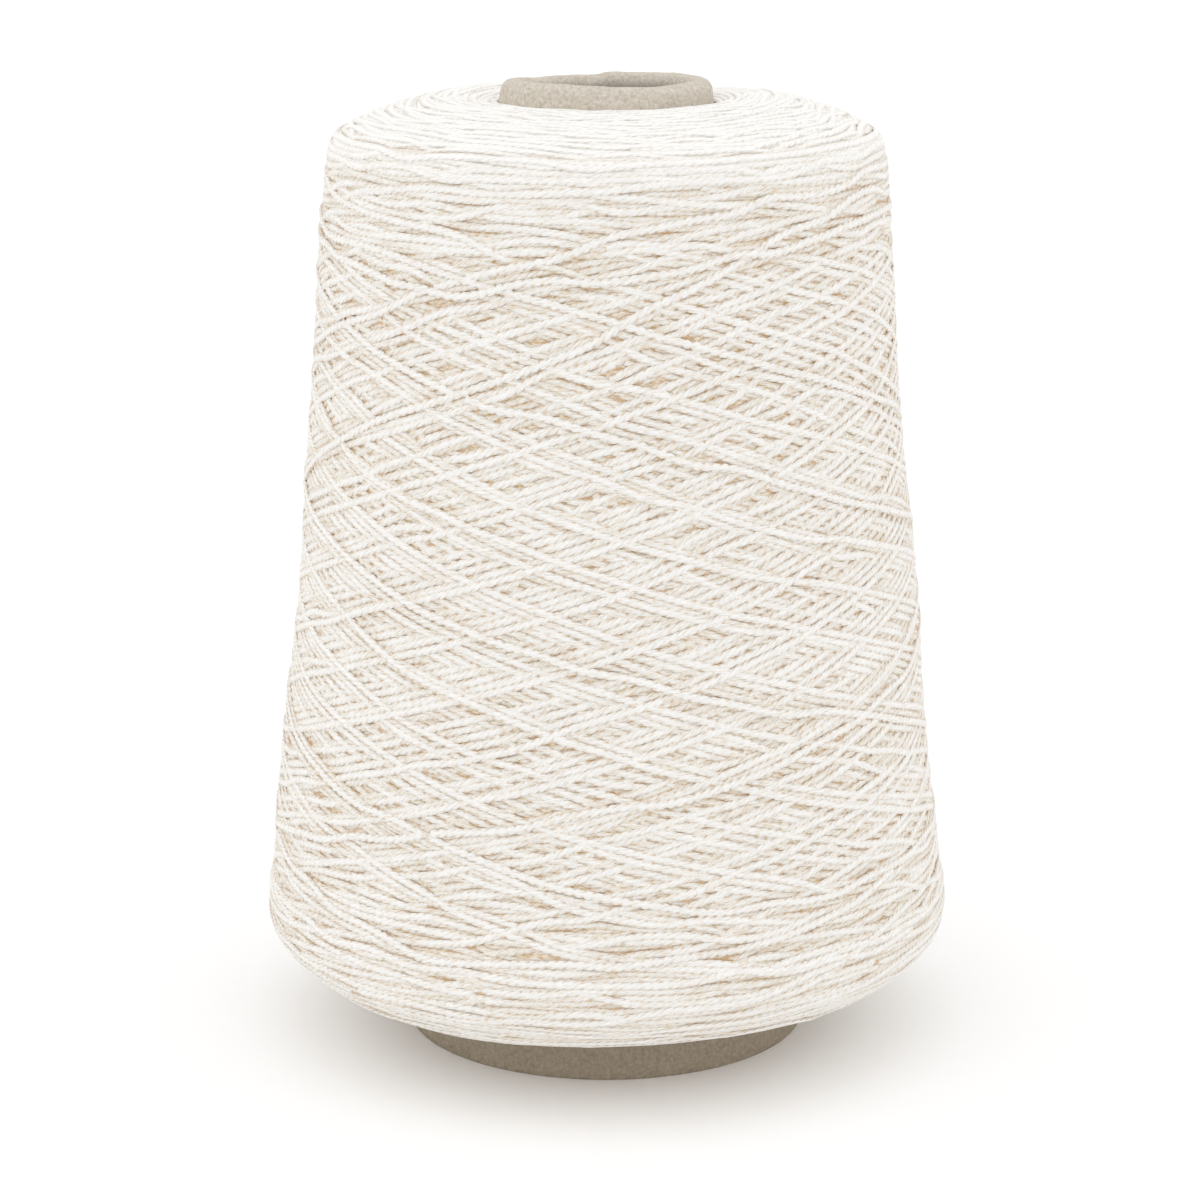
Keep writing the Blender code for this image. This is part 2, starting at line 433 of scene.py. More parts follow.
def blurred(field, spread):
    """A field over the package, evened out over a length."""
    field = np.pad(field, ((EDGE, EDGE), (0, 0)), mode="edge")
    turned = np.fft.rfft(field, axis=1) * np.exp(-2 * (math.pi * wave_columns * spread) ** 2)
    field = np.fft.irfft(turned, LAY_COLUMNS, axis=1)
    turned = np.fft.fft(field, axis=0) * np.exp(-2 * (math.pi * wave_rows * spread) ** 2)
    return np.fft.ifft(turned, axis=0).real[EDGE:-EDGE]


def eased(values, spread, step):
    """Values along a strand, smoothed over a length."""
    side = int(3 * spread / step) + 1
    weights = np.exp(-0.5 * (np.arange(-side, side + 1) * step / spread) ** 2)
    return np.convolve(np.pad(values, side, mode="edge"), weights / weights.sum(), "valid")


def cells_under(columns, climb, half_width, half_height):
    """The cells under a strand, and how far its top rises over its middle at each of them."""
    across = np.interp(climb, lay_places, lay_radius) * COLUMN_ANGLE
    lean = 1 / np.hypot(1.0, np.gradient(climb) / across)
    rows = np.floor(climb / LAY_ROW + 0.5).astype(int)[:, None] + reach
    off = (rows * LAY_ROW - climb[:, None]) * lean[:, None]
    inside = (np.abs(off) < half_width) & (rows >= 0) & (rows < LAY_ROWS)
    rise = half_height * np.sqrt(np.maximum(0.0, 1 - (off / half_width) ** 2))
    cells = (np.clip(rows, 0, LAY_ROWS - 1), np.broadcast_to(columns[:, None], rows.shape))
    return cells, np.where(inside, rise, -1e9)


def rest_on_pile(columns, climb):
    """Where a strand's middle comes to rest, and the cells under it with its own top over each of them."""
    cells, rise = cells_under(columns, climb, STRAND_HALF_WIDTH, PRESSED_HALF_HEIGHT)
    return np.max(pile[cells] + rise, axis=1), cells, rise


def lay_strand(first_column, climb, proud=0.0):
    """Lays one strand, which turns one column for each value of climb, on the pile."""
    columns = (first_column + np.arange(len(climb))) % LAY_COLUMNS
    step = float(np.mean(np.interp(climb, lay_places, lay_radius))) * COLUMN_ANGLE
    ways = [np.clip(climb + side, END_CLEAR, lay_places[-1] - END_CLEAR) for side in SIDESTEPS]
    rests = [eased(rest_on_pile(columns, way)[0], STIFF, step) for way in ways]
    pull = np.exp(-(np.array(rests) - np.min(rests, axis=0)) / HOLLOW_PULL)
    climb = climb + eased((pull * SIDESTEPS[:, None]).sum(axis=0) / pull.sum(axis=0), STIFF, step)
    climb = np.clip(climb, END_CLEAR, lay_places[-1] - END_CLEAR)
    rest, cells, rise = rest_on_pile(columns, climb)
    middle = eased(np.maximum(eased(rest, STIFF, step) - SINK, rest - SQUEEZE), BEND, step) + proud
    pile[cells] = np.maximum(pile[cells], middle[:, None] + rise)
    strands.append([columns, climb, middle])


TUCK = 14.0  # mm over which a strand's end goes down between its neighbours
TUCK_DEPTH = 1.6


def tucked_ends(count, radius):
    """How far a strand of so many columns is lifted at each of them: down at both of its ends."""
    from_end = np.minimum(np.arange(count), np.arange(count)[::-1]) * radius * COLUMN_ANGLE
    return -TUCK_DEPTH * np.maximum(0.0, 1 - from_end / TUCK) ** 2


def settle():
    """The package is pressed level: piles sink and hollows fill, with all the strands that lie there."""
    global pile
    uneven = blurred(pile, SPREAD)
    pile = pile - uneven
    for strand in strands:
        rows = np.clip(np.round(strand[1] / LAY_ROW).astype(int), 0, LAY_ROWS - 1)
        strand[2] = strand[2] - uneven[rows, strand[0]]


# The ends of the package are the turns-back of inner layers: flat arcs that lie over each other like
# shingles.
ARC_HALF_SWEEP = math.radians(80)
ARC_SWEEP_STRAY = (0.75, 1.35)  # shares of that sweep
ARC_PITCH = 1.03  # mm
ARC_STRAY = 0.6  # share of the pitch by which an arc misses its place
ARC_WAVE = 0.3  # mm
ARC_COVER = 2.3  # arcs over each place
BOW_STRAY = (0.6, 1.3)  # shares of the bow
DOME_BOW, NOSE_BOW, UNDERSIDE_BOW = 5.0, 0.8, 4.0  # mm


def lay_arcs(first, last, bow):
    """Arcs from the tube outwards. Each turns back nearest to the tube, and its ends are a bow further
    out."""
    outwards = 1 if last > first else -1
    for place in np.arange(first, last, outwards * ARC_PITCH):
        wanted = math.pi / ARC_HALF_SWEEP * ARC_COVER
        for _ in range(int(wanted + rng.random())):
            half = int(ARC_HALF_SWEEP * rng.uniform(*ARC_SWEEP_STRAY) / COLUMN_ANGLE)
            share = np.arange(-half, half + 1) / half
            climb = place + rng.uniform(-ARC_STRAY, ARC_STRAY) * ARC_PITCH
            climb = climb + outwards * bow * rng.uniform(*BOW_STRAY) * share**2
            climb = climb + ARC_WAVE * np.sin(3 * share + rng.uniform(0.0, math.tau))
            climb = np.clip(climb, END_CLEAR, lay_places[-1] - END_CLEAR)
            tucked = tucked_ends(len(climb), np.interp(place, lay_places, lay_radius))
            lay_strand(rng.integers(LAY_COLUMNS), climb, tucked)
        settle()


lay_arcs(lay_places[-1] - 0.6, place_at(159.4) - 2.0, DOME_BOW)
lay_arcs(lay_places[-1] - 0.4, lay_places[-1] - 2.6, NOSE_BOW)
DOME_STRANDS = len(strands)
lay_arcs(0.6, place_at(19.0), UNDERSIDE_BOW)
UNDERSIDE_STRANDS = len(strands)

# Body strands: one to and fro after another, each beside the one that was laid a few rounds before it.
ROUNDS = 220  # to and fro
TOP_TURNS = (142.0, 160.5)  # mm between which a strand turns back
BASE_TURNS = (13.5, 40.0)
TURN_EASE = 8.0  # mm over which a strand slows down before it turns back
STARTS = 12  # rounds before a strand lies beside an earlier one
SIDE_BY_SIDE = 0.0113  # turns from one strand to the next beside it
ROUND_ADVANCE = (5 + SIDE_BY_SIDE) / STARTS
STRAY = 0.003  # turns by which a strand misses its place
FALLING_START = 0.37  # turns from the first rising strand to the first falling one
FALLING_SLANT = 0.97  # share of the rising strands' slant
SLANT_STRAY = 0.04  # share by which a strand's slant differs
WOBBLE = 0.12  # mm
WOBBLE_LENGTH = 12.0  # mm
CORNER_EASE = 1.0  # mm over which a strand bends from one slant into the next
SETTLE_EVERY = 4  # rounds
NUDGE = 0.01  # mm from a turning place at which a strand is on its way
middle_place = place_at(85.0)  # where the strands are set beside each other


def one_way(start, end, slant):
    """What a strand has climbed at each column on its way from one turning place to the other."""
    way = 1 if end > start else -1
    place = start + NUDGE * way
    climb = [place]
    while (end - place) * way > NUDGE:
        near = min(abs(place - start), abs(end - place)) / TURN_EASE
        exact = min(max(place / LAY_ROW, 0.0), LAY_ROWS - 1.001)
        row, part = int(exact), exact % 1
        radius = lay_radius[row] * (1 - part) + lay_radius[row + 1] * part
        angle = math.radians(lay_angle[row] * (1 - part) + lay_angle[row + 1] * part)
        place += way * radius * COLUMN_ANGLE * math.tan(angle * slant) * math.sqrt(min(1.0, near))
        climb.append(place)
    return np.array(climb)


def turning_place(heights):
    return rng.uniform(place_at(heights[0]), place_at(heights[1]))


column = 0
base_turn = turning_place(BASE_TURNS)
rising_phase, falling_phase = 0.0, FALLING_START
for round_index in range(ROUNDS):
    top_turn = turning_place(TOP_TURNS)
    next_base_turn = turning_place(BASE_TURNS)
    rising = one_way(base_turn, top_turn, rng.normal(1.0, SLANT_STRAY))
    falling = one_way(top_turn, next_base_turn, rng.normal(FALLING_SLANT, SLANT_STRAY))
    rising_phase += ROUND_ADVANCE
    falling_phase += ROUND_ADVANCE
    rising_at = column + int(np.argmax(rising > middle_place))
    wait = int((rising_phase + rng.normal(0, STRAY)) * LAY_COLUMNS - rising_at) % LAY_COLUMNS
    falling_at = column + wait + len(rising) + int(np.argmax(falling < middle_place))
    hold = int((falling_phase + rng.normal(0, STRAY)) * LAY_COLUMNS - falling_at) % LAY_COLUMNS
    climb = np.concatenate([np.full(wait, base_turn), rising, np.full(hold, top_turn), falling])
    wobble = eased(rng.normal(0, 1, len(climb)), WOBBLE_LENGTH, COLUMN_STEP)
    lay_strand(column, eased(climb, CORNER_EASE, COLUMN_STEP) + WOBBLE * wobble / wobble.std())
    column += len(climb)
    base_turn = next_base_turn
    if round_index % SETTLE_EVERY == SETTLE_EVERY - 1:
        settle()
settle()

# The last turns lie on top of all others, round and whole. The route of each, in turns from the front and
# mm of height:
LAST_TURNS = (
    (
        (-0.62, 155.0), (-0.50, 152.5), (-0.38, 146.5), (-0.25, 138.0), (0.00, 116.0), (0.25, 92.5),
        (0.50, 67.5), (0.75, 41.5), (0.84, 33.5), (0.89, 29.5), (0.93, 28.0), (1.00, 29.6),
        (1.10, 34.0), (1.25, 43.5), (1.50, 69.5), (1.75, 99.5), (1.90, 120.0), (2.00, 133.5),
        (2.07, 144.0), (2.13, 150.5), (2.19, 152.5), (2.27, 149.5), (2.40, 139.0), (2.55, 124.0),
        (2.75, 102.5), (3.00, 78.0), (3.25, 55.5), (3.40, 42.0), (3.50, 34.0), (3.57, 30.5),
        (3.65, 32.0), (3.80, 40.5), (4.00, 55.0), (4.25, 76.0), (4.50, 98.5), (4.75, 123.0),
        (4.90, 138.5), (5.00, 148.0), (5.10, 154.0), (5.22, 156.0), (5.40, 153.5), (5.60, 150.5),
        (5.80, 146.0), (5.90, 141.5), (6.00, 134.5), (6.25, 111.5), (6.50, 88.0), (6.75, 63.5),
        (6.90, 49.0), (7.00, 40.6), (7.05, 38.2), (7.12, 37.8), (7.25, 39.5), (7.40, 45.5),
        (7.55, 56.0),
    ),
    (
        (-0.50, 156.0), (-0.35, 151.5), (-0.22, 144.0), (-0.105, 139.0), (0.00, 142.0), (0.12, 146.5),
        (0.25, 149.5), (0.45, 155.0),
    ),
)
LAST_PROUD = 0.15  # mm that they lie higher than pressed strands
FLANK_RADIUS = 55.0  # mm, on the whole
FRONT_COLUMN = LAY_COLUMNS * 3 // 4
ROUTE_SAMPLES = 6000
flank = slice(int(place_at(13.0) / LAY_ROW), int(place_at(159.0) / LAY_ROW))  # rows where height rises
BODY_STRANDS = len(strands)
for route in LAST_TURNS:
    turns, heights = smooth_through(np.array(route), ROUTE_SAMPLES).T
    count = int((turns[-1] - turns[0]) * LAY_COLUMNS)
    at = turns[0] + np.arange(count) / LAY_COLUMNS
    climb = np.interp(np.interp(at, turns, heights), lay_height[flank], lay_places[flank])
    first_column = FRONT_COLUMN + int(turns[0] * LAY_COLUMNS)
    lay_strand(first_column, climb, tucked_ends(count, FLANK_RADIUS) + LAST_PROUD)

# Soft strands sink into each other: the share of their differences in level that they keep, on the flank
# and the dome
KEPT_LEVELS = (0.62, 0.5)
DOME_EDGE = place_at(156.0)
DOME_EASE = 5.0  # mm from one share to the other
kept = np.interp(lay_places, (DOME_EDGE, DOME_EDGE + DOME_EASE), KEPT_LEVELS)
pile = pile * kept[:, None]
for strand in strands:
    strand[2] = strand[2] * np.interp(strand[1], lay_places, kept)

CROWN_SHARE = 95  # percent of the surface that lies below the crowns' level
CROWN_EASE = 4.0  # mm
crowns = eased(np.percentile(pile, CROWN_SHARE, axis=1), CROWN_EASE, LAY_ROW)

# --------------------------------------------------------------------------------------------------
# Inner windings. The package is wound solid, so under the strands that can be seen lie hundreds more. They
# are one smooth body a little below the strands on top, which closes the gaps between them.

CORE_DEPTH = 0.27  # mm below the level of the strands on top, as they were laid
CORE_SPREAD = 1.0  # mm over which it evens out that level
CORE_COLUMNS = 512
CORE_STEP = 6  # rows of the lay for each row of the core
CORE_CLEAR = 0.1 * MM  # of the tube
BORE_STEPS = 8  # down along the tube
core_level = blurred(pile, CORE_SPREAD) - CORE_DEPTH * kept[:, None]


def core_rings():
    each = LAY_COLUMNS // CORE_COLUMNS
    angles = np.arange(CORE_COLUMNS) * each * COLUMN_ANGLE
    rings = []
    for row in range(0, LAY_ROWS, CORE_STEP):
        climb = np.full(CORE_COLUMNS, lay_places[row])
        points, _ = on_package(climb, angles, core_level[row, ::each] - crowns[row])
        radii = np.hypot(points[:, 0], points[:, 1])
        clear = np.array([cone_radius(height) for height in points[:, 2]]) + CORE_CLEAR
        points[:, :2] *= (np.maximum(radii, clear) / radii)[:, None]
        rings.append([tuple(point) for point in points])
    top, foot = rings[-1][0][2], rings[0][0][2]
    for step in range(1, BORE_STEPS):
        height = top + (foot - top) * step / BORE_STEPS
        r = cone_radius(height) + CORE_CLEAR
        rings.append([(r * math.cos(angle), r * math.sin(angle), height) for angle in angles])
    return rings


def inner_material():
    """Cotton seen through the gaps: painted shade makes it a warm tan, with the fine lines of more
    strands in pale cream, and painted top light makes it pale under the domed end."""
    material, tree, shader = new_material("inner_cotton", 0.95, 0.1)
    place = tree.nodes.new("ShaderNodeTexCoord").outputs["Object"]
    lines = strokes_on(tree, place, (1.4 * MM, 1.4 * MM, 0.38 * MM), roughening=3.0, faintest=0.38, full=0.62)
    bump = node_in(tree, "ShaderNodeBump", strength=0.8, distance=0.4 * MM)
    height = tree.nodes.new("ShaderNodeSeparateXYZ")
    tree.links.new(place, height.inputs[0])
    # Painted top light: the domed end, lit from above, is paler.
    domed = ranged(tree, height.outputs["Z"], 150 * MM, 162 * MM)
    # Painted shade: the tan stands for the shade deep in the gaps between the strands on top.
    colour = mixed(tree, lines.outputs["Strokes"], (0.68, 0.47, 0.26), (0.92, 0.86, 0.76))
    link(tree, (mixed(tree, domed, colour, (0.96, 0.94, 0.90)), shader.inputs["Base Color"]),
         (lines.outputs["Noise"], bump.inputs["Height"]), (bump.outputs["Normal"], shader.inputs["Normal"]))
    return material


core = closed_grid("inner_windings", core_rings())
core.data.materials.append(inner_material())
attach(core, "root")
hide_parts("yarn_winding")

# --------------------------------------------------------------------------------------------------
# Outer windings. Each strand is four plies of off-white cotton, twisted together, matt and slightly fuzzy.
# Of all the strands that were laid, those that can be seen have their own oval bodies.

PLIES = 4
MARK_SPACING = 1.6  # mm along the strand from one ply to the next
MARK_STRAY = 2.5  # rad by which fibres pull the marks out of line
PLY_RELIEF = 0.10 * MM
DEEP = 1.0  # mm below its neighbours at which a strand has its full painted shade of depth


def attribute(tree, name, output):
    return node_in(tree, "ShaderNodeAttribute", attribute_name=name).outputs[output]


def cotton_material():
    """Plied cotton: off-white, matt and a little fuzzy. Fine fibres slant along its plies. Painted shade
    makes it warmer in the notches where its plies meet a neighbour, on its flanks and deep in the package,
    and darker the deeper it lies; painted top light makes it paler and plainer on the domed end."""
    material, tree, shader = new_material("cotton_yarn", 0.95, 0.1)
    section = tree.nodes.new("ShaderNodeSeparateXYZ")
    height = tree.nodes.new("ShaderNodeSeparateXYZ")
    link(tree, (attribute(tree, "section", "Vector"), section.inputs[0]),
         (tree.nodes.new("ShaderNodeTexCoord").outputs["Object"], height.inputs[0]))
    around = worked_out(tree, "ARCTAN2", section.outputs["Y"], section.outputs["X"])
    along = attribute(tree, "along", "Fac")
    unrolled = tree.nodes.new("ShaderNodeCombineXYZ")
    link(tree, (along, unrolled.inputs["X"]), (around, unrolled.inputs["Y"]),
         (worked_out(tree, "MULTIPLY", height.outputs["Z"], 100.0), unrolled.inputs["Z"]))
    unrolled = unrolled.outputs["Vector"]  # mm along the strand, rad round it, and something of its height
    fibres = strokes_on(tree, unrolled, (2.4, 0.42, 1.0), math.radians(-25), faintest=0.56, full=0.67)
    hairs = strokes_on(tree, unrolled, (1.1, 0.21, 1.0), math.radians(-28), faintest=0.50, full=0.64)

    phase = worked_out(tree, "MULTIPLY_ADD", fibres.outputs["Noise"], MARK_STRAY,
                       worked_out(tree, "MULTIPLY", along, math.pi / MARK_SPACING))
    phase = worked_out(tree, "MULTIPLY_ADD", around, PLIES / 2, phase)
    crest = worked_out(tree, "ABSOLUTE", worked_out(tree, "COSINE", phase))
    # Painted shade: a warm tan in the notches between the plies, on the sides where a strand meets its
    # neighbour.
    notch = worked_out(tree, "MULTIPLY", ranged(tree, crest, 0.6, 0.1), 0.70)
    painted_shade_and_fibre_tint = worked_out(tree, "MULTIPLY", notch, ranged(tree, section.outputs["X"], 0.85, 0.50))
    # Painted shade: warmer the deeper a strand lies below its neighbours.
    depth = attribute(tree, "depth", "Fac")
    painted_shade_and_fibre_tint = worked_out(tree, "ADD", painted_shade_and_fibre_tint, ranged(tree, depth, 0.3, DEEP, high=0.6))
    # Painted shade: warmer on the strands' flanks, where they turn away into the creases.
    flank = ranged(tree, section.outputs["X"], 0.80, 0.35, high=0.5)
    painted_shade_and_fibre_tint = worked_out(tree, "MULTIPLY_ADD", flank, ranged(tree, depth, 0.0, 0.4), painted_shade_and_fibre_tint)
    # The fibre strokes add a little of the yarn's own warm tint.
    painted_shade_and_fibre_tint = worked_out(tree, "MULTIPLY_ADD", fibres.outputs["Strokes"], 0.16, painted_shade_and_fibre_tint)
    # Fibre and hair strokes, the yarn's own grain, drawn stronger on deeper strands as painted shade.
    fine = worked_out(tree, "MULTIPLY", hairs.outputs["Strokes"], 1.1)
    fine = worked_out(tree, "MULTIPLY_ADD", fibres.outputs["Strokes"], 0.5, fine)
    fine = worked_out(tree, "MULTIPLY", fine, ranged(tree, depth, 0.0, 0.25, low=0.3))
    # Painted top light: on the domed end the strokes and the painted shade fade.
    domed = ranged(tree, height.outputs["Z"], 152 * MM, 165 * MM)
    kept_below_painted_top_light = worked_out(tree, "MULTIPLY_ADD", domed, -0.7, 1.0)
    # Painted shade: the base colour is darker on deeper strands; painted top light makes it paler on the
    # domed end.
    pale = mixed(tree, ranged(tree, depth, 0.0, 0.22), (0.918, 0.908, 0.887), (0.866, 0.850, 0.815))
    pale = mixed(tree, domed, pale, (0.948, 0.938, 0.917))
    colour = mixed(tree, worked_out(tree, "MULTIPLY", fine, kept_below_painted_top_light), pale, (0.76, 0.67, 0.54))
    colour = mixed(tree, worked_out(tree, "MULTIPLY", painted_shade_and_fibre_tint, kept_below_painted_top_light), colour, (0.66, 0.43, 0.20))
    tree.links.new(colour, shader.inputs["Base Color"])

    relief = worked_out(tree, "MULTIPLY", crest, 0.6)
    relief = worked_out(tree, "MULTIPLY_ADD", fibres.outputs["Noise"], -1.5, relief)
    relief = worked_out(tree, "MULTIPLY_ADD", hairs.outputs["Noise"], -0.8, relief)
    bump = node_in(tree, "ShaderNodeBump", strength=1.0, distance=PLY_RELIEF)
    link(tree, (relief, bump.inputs["Height"]), (bump.outputs["Normal"], shader.inputs["Normal"]))
    return material


# Each strand keeps the stretches that can be seen, and dives out of sight under its neighbours between
# them.
STRAND_SIDES = 6
RING_SPACING = 1.8  # mm
FINE_SPACING = 0.4  # on the last turns, where the bulges of the plies show
PLY_BULGE = 0.20  # share by which the plies make a strand thicker and thinner
MEAN_CREST = 0.64  # of the bulges, which go from 0 to 1
OVERLAP = 1  # rings that a stretch runs on out of sight
END_DIVE = 0.6  # mm that its ends go down there
SHORTEST = 3  # rings
LEAST_SEEN = 2  # cells that show between one ring and the next
GIRTH_STRAY = 0.05  # share by which a soft-spun strand is thicker or thinner
SOFT_SIDES = 1.20  # share of its pressed width that a strand's soft sides reach
NEAR = 2  # cells each way in which a strand's neighbours are looked for
NEAR_SPREAD = 0.8  # mm over which their height is evened out

surface = core_level.copy()
topmost = np.full(pile.shape, -1)  # the strand that shows at each cell
for number, (columns, climb, middle) in enumerate(strands):
    cells, rise = cells_under(columns, climb, STRAND_HALF_WIDTH * SOFT_SIDES, STRAND_HALF_HEIGHT)
    height = middle[:, None] + rise
    np.maximum.at(surface, cells, height)
    topmost[cells] = np.where(height >= surface[cells], number, topmost[cells])


def highest_near(field, rows, columns):
    """The highest value within so many rows and columns of each cell."""
    for side in range(1, rows + 1):
        field = np.maximum(field, np.maximum(np.roll(field, side, 0), np.roll(field, -side, 0)))
    for side in range(1, columns + 1):
        field = np.maximum(field, np.maximum(np.roll(field, side, 1), np.roll(field, -side, 1)))
    return field


surroundings = blurred(highest_near(surface, NEAR, NEAR), NEAR_SPREAD)


def seen_stretches(number, spacing):
    """The rings of each stretch of one strand: arrays of place, angle, level, depth and length along it."""
    columns, climb, middle = strands[number]
    cells, rise = cells_under(columns, climb, STRAND_HALF_WIDTH * SOFT_SIDES, STRAND_HALF_HEIGHT)
    shown = np.concatenate([[0], np.cumsum(((topmost[cells] == number) & (rise > 0)).sum(axis=1))])
    across = np.interp(climb, lay_places, lay_radius) * COLUMN_ANGLE
    length = np.concatenate([[0.0], np.cumsum(np.hypot(across, np.gradient(climb))[1:])])
    at = np.linspace(0, length[-1], max(SHORTEST, int(length[-1] / spacing)))
    exact = np.interp(at, length, np.arange(len(climb)))
    half_step = 0.5 * (exact[1] - exact[0])
    first, last = (np.clip(exact + side * half_step, 0, len(climb)).astype(int) for side in (-1, 1))
    seen = shown[last] - shown[first] >= LEAST_SEEN
    for side in range(1, OVERLAP + 1):
        seen[side:] |= seen[:-side].copy()
        seen[:-side] |= seen[side:].copy()
    place = np.interp(exact, np.arange(len(climb)), climb)
    level = np.interp(exact, np.arange(len(climb)), middle)
    rows = np.clip(np.round(place / LAY_ROW).astype(int), 0, LAY_ROWS - 1)
    beside = columns[np.round(exact).astype(int)]
    proud = level - crowns[rows]
    angle = (columns[0] + exact) * COLUMN_ANGLE
    depth = surroundings[rows, beside] - level - STRAND_HALF_HEIGHT
    edges = np.flatnonzero(np.diff(np.concatenate([[False], seen, [False]]).astype(int)))
    for first, last in zip(edges[::2], edges[1::2]):
        if last - first >= SHORTEST:
            part = slice(first, last)
            from_end = np.minimum(np.arange(last - first), np.arange(last - first)[::-1])
            dive = END_DIVE * np.maximum(0.0, 1 - from_end / OVERLAP)
            yield place[part], angle[part], proud[part] - dive, depth[part], at[part]


def wound_strand_tree():
    """Turns lines with their outward direction into strands of an oval section, pressed flat against the
    package."""
    tree = bpy.data.node_groups.new("wound strand", "GeometryNodeTree")
    for name, kind in (
        ("Lines", "NodeSocketGeometry"), ("Half Width", "NodeSocketFloat"),
        ("Half Height", "NodeSocketFloat"), ("Sides", "NodeSocketInt"), ("Material", "NodeSocketMaterial"),
    ):
        tree.interface.new_socket(name, in_out="INPUT", socket_type=kind)
    tree.interface.new_socket("Strands", in_out="OUTPUT", socket_type="NodeSocketGeometry")
    start = tree.nodes.new("NodeGroupInput")
    end = tree.nodes.new("NodeGroupOutput")
    outward = node_in(tree, "GeometryNodeInputNamedAttribute", data_type="FLOAT_VECTOR")
    outward.inputs["Name"].default_value = "outward"
    girth = node_in(tree, "GeometryNodeInputNamedAttribute", data_type="FLOAT")
    girth.inputs["Name"].default_value = "girth"
    lines = node_in(tree, "GeometryNodeMeshToCurve")
    upright = node_in(tree, "GeometryNodeSetCurveNormal", mode="FREE")
    circle = node_in(tree, "GeometryNodeCurvePrimitiveCircle")
    circle.inputs["Radius"].default_value = 1.0
    around = node_in(tree, "GeometryNodeInputPosition")
    keep = node_in(tree, "GeometryNodeStoreNamedAttribute", data_type="FLOAT_VECTOR", domain="POINT")
    keep.inputs["Name"].default_value = "section"
    size = node_in(tree, "ShaderNodeCombineXYZ")
    size.inputs["Z"].default_value = 1.0
    oval = node_in(tree, "GeometryNodeTransform")
    sweep = node_in(tree, "GeometryNodeCurveToMesh")
    sweep.inputs["Fill Caps"].default_value = True
    smooth = node_in(tree, "GeometryNodeSetShadeSmooth")
    real = node_in(tree, "GeometryNodeRealizeInstances")
    finish = node_in(tree, "GeometryNodeSetMaterial")
    link(tree,
         (start.outputs["Lines"], lines.inputs["Mesh"]), (lines.outputs["Curve"], upright.inputs["Curve"]),
         (outward.outputs["Attribute"], upright.inputs["Normal"]),
         (start.outputs["Sides"], circle.inputs["Resolution"]),
         (circle.outputs["Curve"], keep.inputs["Geometry"]),
         (around.outputs["Position"], keep.inputs["Value"]),
         (keep.outputs["Geometry"], oval.inputs["Geometry"]),
         (start.outputs["Half Height"], size.inputs["X"]), (start.outputs["Half Width"], size.inputs["Y"]),
         (size.outputs["Vector"], oval.inputs["Scale"]),
         (upright.outputs["Curve"], sweep.inputs["Curve"]),
         (oval.outputs["Geometry"], sweep.inputs["Profile Curve"]),
         (girth.outputs["Attribute"], sweep.inputs["Scale"]),
         (sweep.outputs["Mesh"], smooth.inputs["Geometry"]),
         (smooth.outputs["Geometry"], real.inputs["Geometry"]),
         (real.outputs["Geometry"], finish.inputs["Geometry"]),
         (start.outputs["Material"], finish.inputs["Material"]),
         (finish.outputs["Geometry"], end.inputs["Strands"]))
    return tree


wound_strand = wound_strand_tree()
cotton = cotton_material()


def lines_mesh(name, numbers, spacing, bulge):
    """The seen stretches of some strands as lines, with what their section and material need."""
    stretches = [stretch for number in numbers for stretch in seen_stretches(number, spacing)]
    place, angle, proud, depth, along = (np.concatenate(values) for values in zip(*stretches))
    points, outward = on_package(place, angle, proud)
    firsts = np.cumsum([0] + [len(stretch[0]) for stretch in stretches])
    joined = np.ones(len(points), bool)
    joined[firsts[1:] - 1] = False
    starts = np.flatnonzero(joined)
    mesh = bpy.data.meshes.new(name)
    mesh.from_pydata(points.tolist(), np.stack([starts, starts + 1], 1).tolist(), [])
    mesh.attributes.new("outward", "FLOAT_VECTOR", "POINT").data.foreach_set("vector", outward.ravel())
    mesh.attributes.new("depth", "FLOAT", "POINT").data.foreach_set("value", depth)
    mesh.attributes.new("along", "FLOAT", "POINT").data.foreach_set("value", along)
    bulges = bulge * (np.abs(np.cos(math.pi * along / MARK_SPACING)) - MEAN_CREST)
    girth = rng.normal(1.0, GIRTH_STRAY, len(points)) + bulges
    mesh.attributes.new("girth", "FLOAT", "POINT").data.foreach_set("value", girth)
    return mesh


def wind_strands(name, numbers, spacing=RING_SPACING, bulge=0.0):
    """A piece of the strands with these numbers, which stands for a part of the package."""
    lines = lines_mesh(name, numbers, spacing, bulge)
    lines_piece = bpy.data.objects.new(name + "_lines", lines)
    bpy.context.scene.collection.objects.link(lines_piece)
    winding = lines_piece.modifiers.new("Strands", "NODES")
    winding.node_group = wound_strand
    values = {
        "Half Width": STRAND_HALF_WIDTH * SOFT_SIDES / math.cos(math.pi / STRAND_SIDES) * MM,
        "Half Height": STRAND_HALF_HEIGHT * MM, "Sides": STRAND_SIDES, "Material": cotton,
    }
    for socket in wound_strand.interface.items_tree:
        if socket.item_type == "SOCKET" and socket.name in values:
            winding[socket.identifier] = values[socket.name]
    seen = lines_piece.evaluated_get(bpy.context.evaluated_depsgraph_get())
    mesh = bpy.data.meshes.new_from_object(seen)
    mesh.name = name
    bpy.data.objects.remove(lines_piece)
    piece = bpy.data.objects.new(name, mesh)
    bpy.context.scene.collection.objects.link(piece)
    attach(piece, "root")
    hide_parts("yarn_winding")


wind_strands("dome_strands", range(DOME_STRANDS))
wind_strands("underside_strands", range(DOME_STRANDS, UNDERSIDE_STRANDS))
LAYERS = 6
